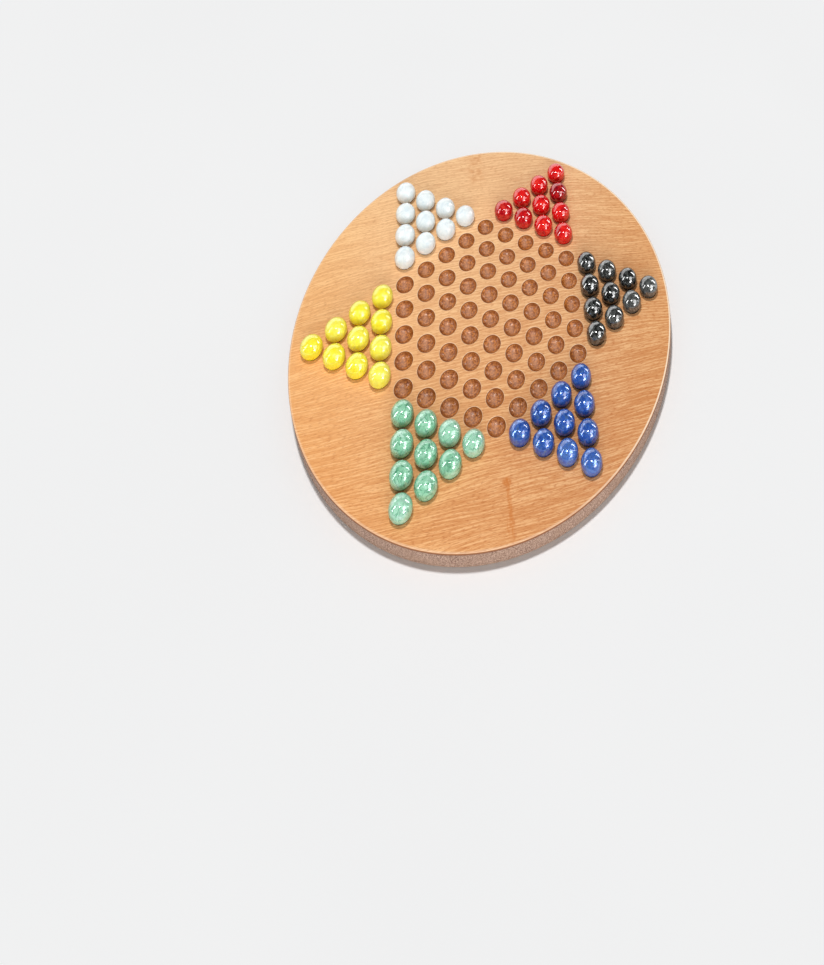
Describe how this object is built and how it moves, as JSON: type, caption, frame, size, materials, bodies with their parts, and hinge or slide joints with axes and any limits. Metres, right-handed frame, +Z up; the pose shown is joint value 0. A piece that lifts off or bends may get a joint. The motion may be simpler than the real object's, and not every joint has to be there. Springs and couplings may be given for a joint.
{
  "type": "chinese checkers board",
  "caption": "Round wood-veneered board with a hexagram of ball seats, each star point filled with glass marbles of its own colour.",
  "frame": {"origin": "centre of the round board's underside", "axes": "+Z up out of the playing face; +X points at the tip of the black camp; +Y passes between the red and the white camp; anticlockwise from +X the camps are black, red, white, yellow, green and blue"},
  "size_m": [0.295, 0.295, 0.0274],
  "materials": {
    "face_veneer": "satin lacquered beech veneer",
    "underside_veneer": "matt beech balancing veneer",
    "fibreboard": "sealed milled fibreboard",
    "black_glass": "polished opaque glass with a grey lustre",
    "red_glass": "polished opaque glass",
    "white_glass": "polished opaque glass",
    "yellow_glass": "polished opaque glass",
    "green_glass": "polished opaque glass",
    "blue_glass": "polished opaque glass"
  },
  "bodies": {
    "board": {"board_core": "fibreboard", "underside_veneer": "underside_veneer", "face_veneer_left": "face_veneer", "face_veneer_right": "face_veneer"},
    "black_marble_1": {"black_marble_1": "black_glass"},
    "black_marble_2": {"black_marble_2": "black_glass"},
    "black_marble_3": {"black_marble_3": "black_glass"},
    "black_marble_4": {"black_marble_4": "black_glass"},
    "black_marble_5": {"black_marble_5": "black_glass"},
    "black_marble_6": {"black_marble_6": "black_glass"},
    "black_marble_7": {"black_marble_7": "black_glass"},
    "black_marble_8": {"black_marble_8": "black_glass"},
    "black_marble_pair": {"black_marble_pair": "black_glass"},
    "red_marble_1": {"red_marble_1": "red_glass"},
    "red_marble_2": {"red_marble_2": "red_glass"},
    "red_marble_3": {"red_marble_3": "red_glass"},
    "red_marble_4": {"red_marble_4": "red_glass"},
    "red_marble_5": {"red_marble_5": "red_glass"},
    "red_marble_6": {"red_marble_6": "red_glass"},
    "red_marble_7": {"red_marble_7": "red_glass"},
    "red_marble_8": {"red_marble_8": "red_glass"},
    "red_marble_pair": {"red_marble_pair": "red_glass"},
    "white_marble_1": {"white_marble_1": "white_glass"},
    "white_marble_2": {"white_marble_2": "white_glass"},
    "white_marble_3": {"white_marble_3": "white_glass"},
    "white_marble_4": {"white_marble_4": "white_glass"},
    "white_marble_5": {"white_marble_5": "white_glass"},
    "white_marble_6": {"white_marble_6": "white_glass"},
    "white_marble_7": {"white_marble_7": "white_glass"},
    "white_marble_8": {"white_marble_8": "white_glass"},
    "white_marble_pair": {"white_marble_pair": "white_glass"},
    "yellow_marble_1": {"yellow_marble_1": "yellow_glass"},
    "yellow_marble_2": {"yellow_marble_2": "yellow_glass"},
    "yellow_marble_3": {"yellow_marble_3": "yellow_glass"},
    "yellow_marble_4": {"yellow_marble_4": "yellow_glass"},
    "yellow_marble_5": {"yellow_marble_5": "yellow_glass"},
    "yellow_marble_6": {"yellow_marble_6": "yellow_glass"},
    "yellow_marble_7": {"yellow_marble_7": "yellow_glass"},
    "yellow_marble_8": {"yellow_marble_8": "yellow_glass"},
    "yellow_marble_pair": {"yellow_marble_pair": "yellow_glass"},
    "green_marble_1": {"green_marble_1": "green_glass"},
    "green_marble_2": {"green_marble_2": "green_glass"},
    "green_marble_3": {"green_marble_3": "green_glass"},
    "green_marble_4": {"green_marble_4": "green_glass"},
    "green_marble_5": {"green_marble_5": "green_glass"},
    "green_marble_6": {"green_marble_6": "green_glass"},
    "green_marble_7": {"green_marble_7": "green_glass"},
    "green_marble_8": {"green_marble_8": "green_glass"},
    "green_marble_pair": {"green_marble_pair": "green_glass"},
    "blue_marble_1": {"blue_marble_1": "blue_glass"},
    "blue_marble_2": {"blue_marble_2": "blue_glass"},
    "blue_marble_3": {"blue_marble_3": "blue_glass"},
    "blue_marble_4": {"blue_marble_4": "blue_glass"},
    "blue_marble_5": {"blue_marble_5": "blue_glass"},
    "blue_marble_6": {"blue_marble_6": "blue_glass"},
    "blue_marble_7": {"blue_marble_7": "blue_glass"},
    "blue_marble_8": {"blue_marble_8": "blue_glass"},
    "blue_marble_pair": {"blue_marble_pair": "blue_glass"}
  },
  "joints": [
    {"name": "black_marble_1_lift", "type": "slide", "parent": "board", "child": "black_marble_1", "axis": [0, 0, 1], "range_m": [0, 0.04]},
    {"name": "black_marble_2_lift", "type": "slide", "parent": "board", "child": "black_marble_2", "axis": [0, 0, 1], "range_m": [0, 0.04]},
    {"name": "black_marble_3_lift", "type": "slide", "parent": "board", "child": "black_marble_3", "axis": [0, 0, 1], "range_m": [0, 0.04]},
    {"name": "black_marble_4_lift", "type": "slide", "parent": "board", "child": "black_marble_4", "axis": [0, 0, 1], "range_m": [0, 0.04]},
    {"name": "black_marble_5_lift", "type": "slide", "parent": "board", "child": "black_marble_5", "axis": [0, 0, 1], "range_m": [0, 0.04]},
    {"name": "black_marble_6_lift", "type": "slide", "parent": "board", "child": "black_marble_6", "axis": [0, 0, 1], "range_m": [0, 0.04]},
    {"name": "black_marble_7_lift", "type": "slide", "parent": "board", "child": "black_marble_7", "axis": [0, 0, 1], "range_m": [0, 0.04]},
    {"name": "black_marble_8_lift", "type": "slide", "parent": "board", "child": "black_marble_8", "axis": [0, 0, 1], "range_m": [0, 0.04]},
    {"name": "black_marble_pair_lift", "type": "slide", "parent": "board", "child": "black_marble_pair", "axis": [0, 0, 1], "range_m": [0, 0.04]},
    {"name": "red_marble_1_lift", "type": "slide", "parent": "board", "child": "red_marble_1", "axis": [0, 0, 1], "range_m": [0, 0.04]},
    {"name": "red_marble_2_lift", "type": "slide", "parent": "board", "child": "red_marble_2", "axis": [0, 0, 1], "range_m": [0, 0.04]},
    {"name": "red_marble_3_lift", "type": "slide", "parent": "board", "child": "red_marble_3", "axis": [0, 0, 1], "range_m": [0, 0.04]},
    {"name": "red_marble_4_lift", "type": "slide", "parent": "board", "child": "red_marble_4", "axis": [0, 0, 1], "range_m": [0, 0.04]},
    {"name": "red_marble_5_lift", "type": "slide", "parent": "board", "child": "red_marble_5", "axis": [0, 0, 1], "range_m": [0, 0.04]},
    {"name": "red_marble_6_lift", "type": "slide", "parent": "board", "child": "red_marble_6", "axis": [0, 0, 1], "range_m": [0, 0.04]},
    {"name": "red_marble_7_lift", "type": "slide", "parent": "board", "child": "red_marble_7", "axis": [0, 0, 1], "range_m": [0, 0.04]},
    {"name": "red_marble_8_lift", "type": "slide", "parent": "board", "child": "red_marble_8", "axis": [0, 0, 1], "range_m": [0, 0.04]},
    {"name": "red_marble_pair_lift", "type": "slide", "parent": "board", "child": "red_marble_pair", "axis": [0, 0, 1], "range_m": [0, 0.04]},
    {"name": "white_marble_1_lift", "type": "slide", "parent": "board", "child": "white_marble_1", "axis": [0, 0, 1], "range_m": [0, 0.04]},
    {"name": "white_marble_2_lift", "type": "slide", "parent": "board", "child": "white_marble_2", "axis": [0, 0, 1], "range_m": [0, 0.04]},
    {"name": "white_marble_3_lift", "type": "slide", "parent": "board", "child": "white_marble_3", "axis": [0, 0, 1], "range_m": [0, 0.04]},
    {"name": "white_marble_4_lift", "type": "slide", "parent": "board", "child": "white_marble_4", "axis": [0, 0, 1], "range_m": [0, 0.04]},
    {"name": "white_marble_5_lift", "type": "slide", "parent": "board", "child": "white_marble_5", "axis": [0, 0, 1], "range_m": [0, 0.04]},
    {"name": "white_marble_6_lift", "type": "slide", "parent": "board", "child": "white_marble_6", "axis": [0, 0, 1], "range_m": [0, 0.04]},
    {"name": "white_marble_7_lift", "type": "slide", "parent": "board", "child": "white_marble_7", "axis": [0, 0, 1], "range_m": [0, 0.04]},
    {"name": "white_marble_8_lift", "type": "slide", "parent": "board", "child": "white_marble_8", "axis": [0, 0, 1], "range_m": [0, 0.04]},
    {"name": "white_marble_pair_lift", "type": "slide", "parent": "board", "child": "white_marble_pair", "axis": [0, 0, 1], "range_m": [0, 0.04]},
    {"name": "yellow_marble_1_lift", "type": "slide", "parent": "board", "child": "yellow_marble_1", "axis": [0, 0, 1], "range_m": [0, 0.04]},
    {"name": "yellow_marble_2_lift", "type": "slide", "parent": "board", "child": "yellow_marble_2", "axis": [0, 0, 1], "range_m": [0, 0.04]},
    {"name": "yellow_marble_3_lift", "type": "slide", "parent": "board", "child": "yellow_marble_3", "axis": [0, 0, 1], "range_m": [0, 0.04]},
    {"name": "yellow_marble_4_lift", "type": "slide", "parent": "board", "child": "yellow_marble_4", "axis": [0, 0, 1], "range_m": [0, 0.04]},
    {"name": "yellow_marble_5_lift", "type": "slide", "parent": "board", "child": "yellow_marble_5", "axis": [0, 0, 1], "range_m": [0, 0.04]},
    {"name": "yellow_marble_6_lift", "type": "slide", "parent": "board", "child": "yellow_marble_6", "axis": [0, 0, 1], "range_m": [0, 0.04]},
    {"name": "yellow_marble_7_lift", "type": "slide", "parent": "board", "child": "yellow_marble_7", "axis": [0, 0, 1], "range_m": [0, 0.04]},
    {"name": "yellow_marble_8_lift", "type": "slide", "parent": "board", "child": "yellow_marble_8", "axis": [0, 0, 1], "range_m": [0, 0.04]},
    {"name": "yellow_marble_pair_lift", "type": "slide", "parent": "board", "child": "yellow_marble_pair", "axis": [0, 0, 1], "range_m": [0, 0.04]},
    {"name": "green_marble_1_lift", "type": "slide", "parent": "board", "child": "green_marble_1", "axis": [0, 0, 1], "range_m": [0, 0.04]},
    {"name": "green_marble_2_lift", "type": "slide", "parent": "board", "child": "green_marble_2", "axis": [0, 0, 1], "range_m": [0, 0.04]},
    {"name": "green_marble_3_lift", "type": "slide", "parent": "board", "child": "green_marble_3", "axis": [0, 0, 1], "range_m": [0, 0.04]},
    {"name": "green_marble_4_lift", "type": "slide", "parent": "board", "child": "green_marble_4", "axis": [0, 0, 1], "range_m": [0, 0.04]},
    {"name": "green_marble_5_lift", "type": "slide", "parent": "board", "child": "green_marble_5", "axis": [0, 0, 1], "range_m": [0, 0.04]},
    {"name": "green_marble_6_lift", "type": "slide", "parent": "board", "child": "green_marble_6", "axis": [0, 0, 1], "range_m": [0, 0.04]},
    {"name": "green_marble_7_lift", "type": "slide", "parent": "board", "child": "green_marble_7", "axis": [0, 0, 1], "range_m": [0, 0.04]},
    {"name": "green_marble_8_lift", "type": "slide", "parent": "board", "child": "green_marble_8", "axis": [0, 0, 1], "range_m": [0, 0.04]},
    {"name": "green_marble_pair_lift", "type": "slide", "parent": "board", "child": "green_marble_pair", "axis": [0, 0, 1], "range_m": [0, 0.04]},
    {"name": "blue_marble_1_lift", "type": "slide", "parent": "board", "child": "blue_marble_1", "axis": [0, 0, 1], "range_m": [0, 0.04]},
    {"name": "blue_marble_2_lift", "type": "slide", "parent": "board", "child": "blue_marble_2", "axis": [0, 0, 1], "range_m": [0, 0.04]},
    {"name": "blue_marble_3_lift", "type": "slide", "parent": "board", "child": "blue_marble_3", "axis": [0, 0, 1], "range_m": [0, 0.04]},
    {"name": "blue_marble_4_lift", "type": "slide", "parent": "board", "child": "blue_marble_4", "axis": [0, 0, 1], "range_m": [0, 0.04]},
    {"name": "blue_marble_5_lift", "type": "slide", "parent": "board", "child": "blue_marble_5", "axis": [0, 0, 1], "range_m": [0, 0.04]},
    {"name": "blue_marble_6_lift", "type": "slide", "parent": "board", "child": "blue_marble_6", "axis": [0, 0, 1], "range_m": [0, 0.04]},
    {"name": "blue_marble_7_lift", "type": "slide", "parent": "board", "child": "blue_marble_7", "axis": [0, 0, 1], "range_m": [0, 0.04]},
    {"name": "blue_marble_8_lift", "type": "slide", "parent": "board", "child": "blue_marble_8", "axis": [0, 0, 1], "range_m": [0, 0.04]},
    {"name": "blue_marble_pair_lift", "type": "slide", "parent": "board", "child": "blue_marble_pair", "axis": [0, 0, 1], "range_m": [0, 0.04]}
  ]
}
